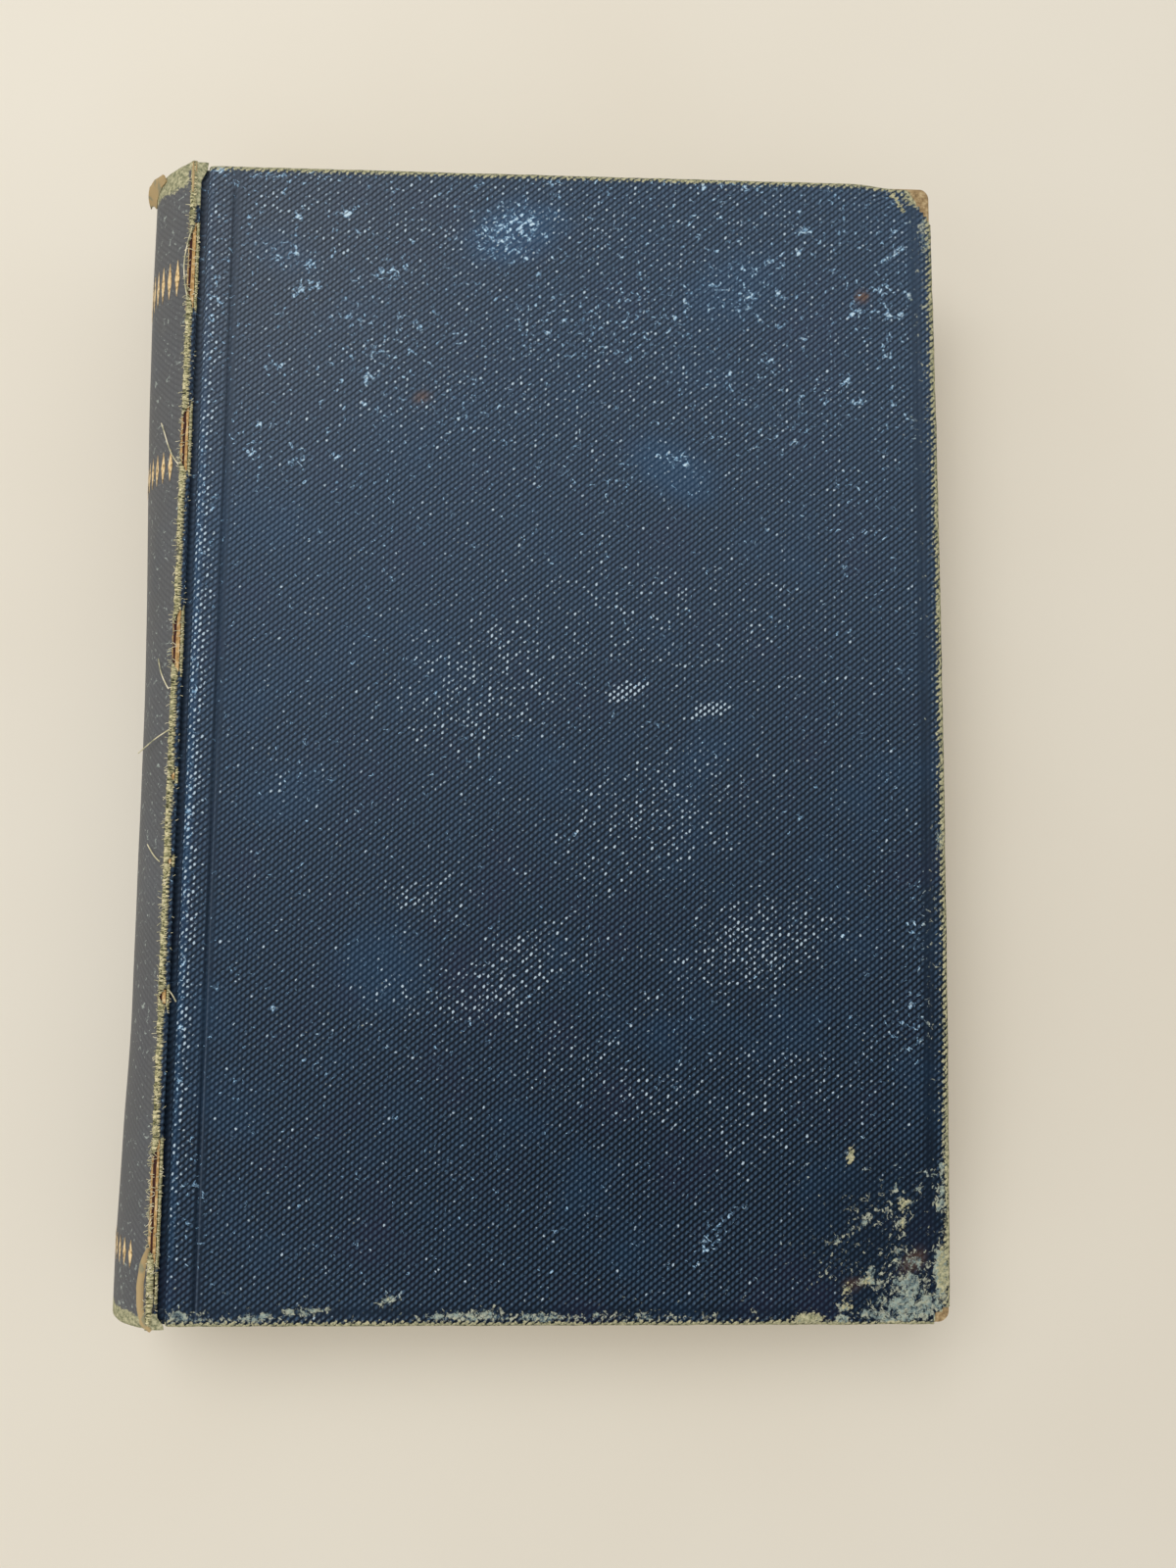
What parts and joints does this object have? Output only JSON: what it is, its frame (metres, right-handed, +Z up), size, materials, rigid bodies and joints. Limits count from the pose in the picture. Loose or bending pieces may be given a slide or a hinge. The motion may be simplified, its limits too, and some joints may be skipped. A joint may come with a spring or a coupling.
{
  "type": "hardback book",
  "caption": "Worn case-bound book in dark blue cloth, with a rounded spine, torn front joint and two covers that open",
  "frame": {"origin": "on the surface that the book lies on, under the middle of its bounding box", "axes": "+X from the spine to the fore-edge, +Y from tail to head, +Z up through the front cover"},
  "size_m": [0.156, 0.2218, 0.036],
  "materials": {
    "pages": "matte, toned edges",
    "endpaper": "matte, foxed",
    "gauze": "open weave, glue-stained",
    "lining_paper": "matte brown kraft",
    "spine_card": "matte",
    "book_cloth": "ribbed dark blue cloth, rubbed pale at edges and joints",
    "board": "matte"
  },
  "bodies": {
    "pages_and_spine": {"text_block": "pages", "front_flyleaf": "endpaper", "back_flyleaf": "endpaper", "spine_gauze": "gauze", "spine_lining": "lining_paper", "spine_card": "spine_card", "spine_cloth": "book_cloth"},
    "front_cover": {"front_board": "board", "front_cloth": "book_cloth", "front_gauze": "gauze", "front_pastedown": "endpaper"},
    "back_cover": {"back_board": "board", "back_cloth": "book_cloth", "back_gauze": "gauze", "back_pastedown": "endpaper"}
  },
  "joints": [
    {"name": "front_joint", "type": "hinge", "parent": "pages_and_spine", "child": "front_cover", "pos_m": [-0.067, 0, 0.036], "axis": [0, -1, 0], "range_deg": [0, 180]},
    {"name": "back_joint", "type": "hinge", "parent": "pages_and_spine", "child": "back_cover", "pos_m": [-0.067, 0, 0], "axis": [0, 1, 0], "range_deg": [0, 180]}
  ]
}
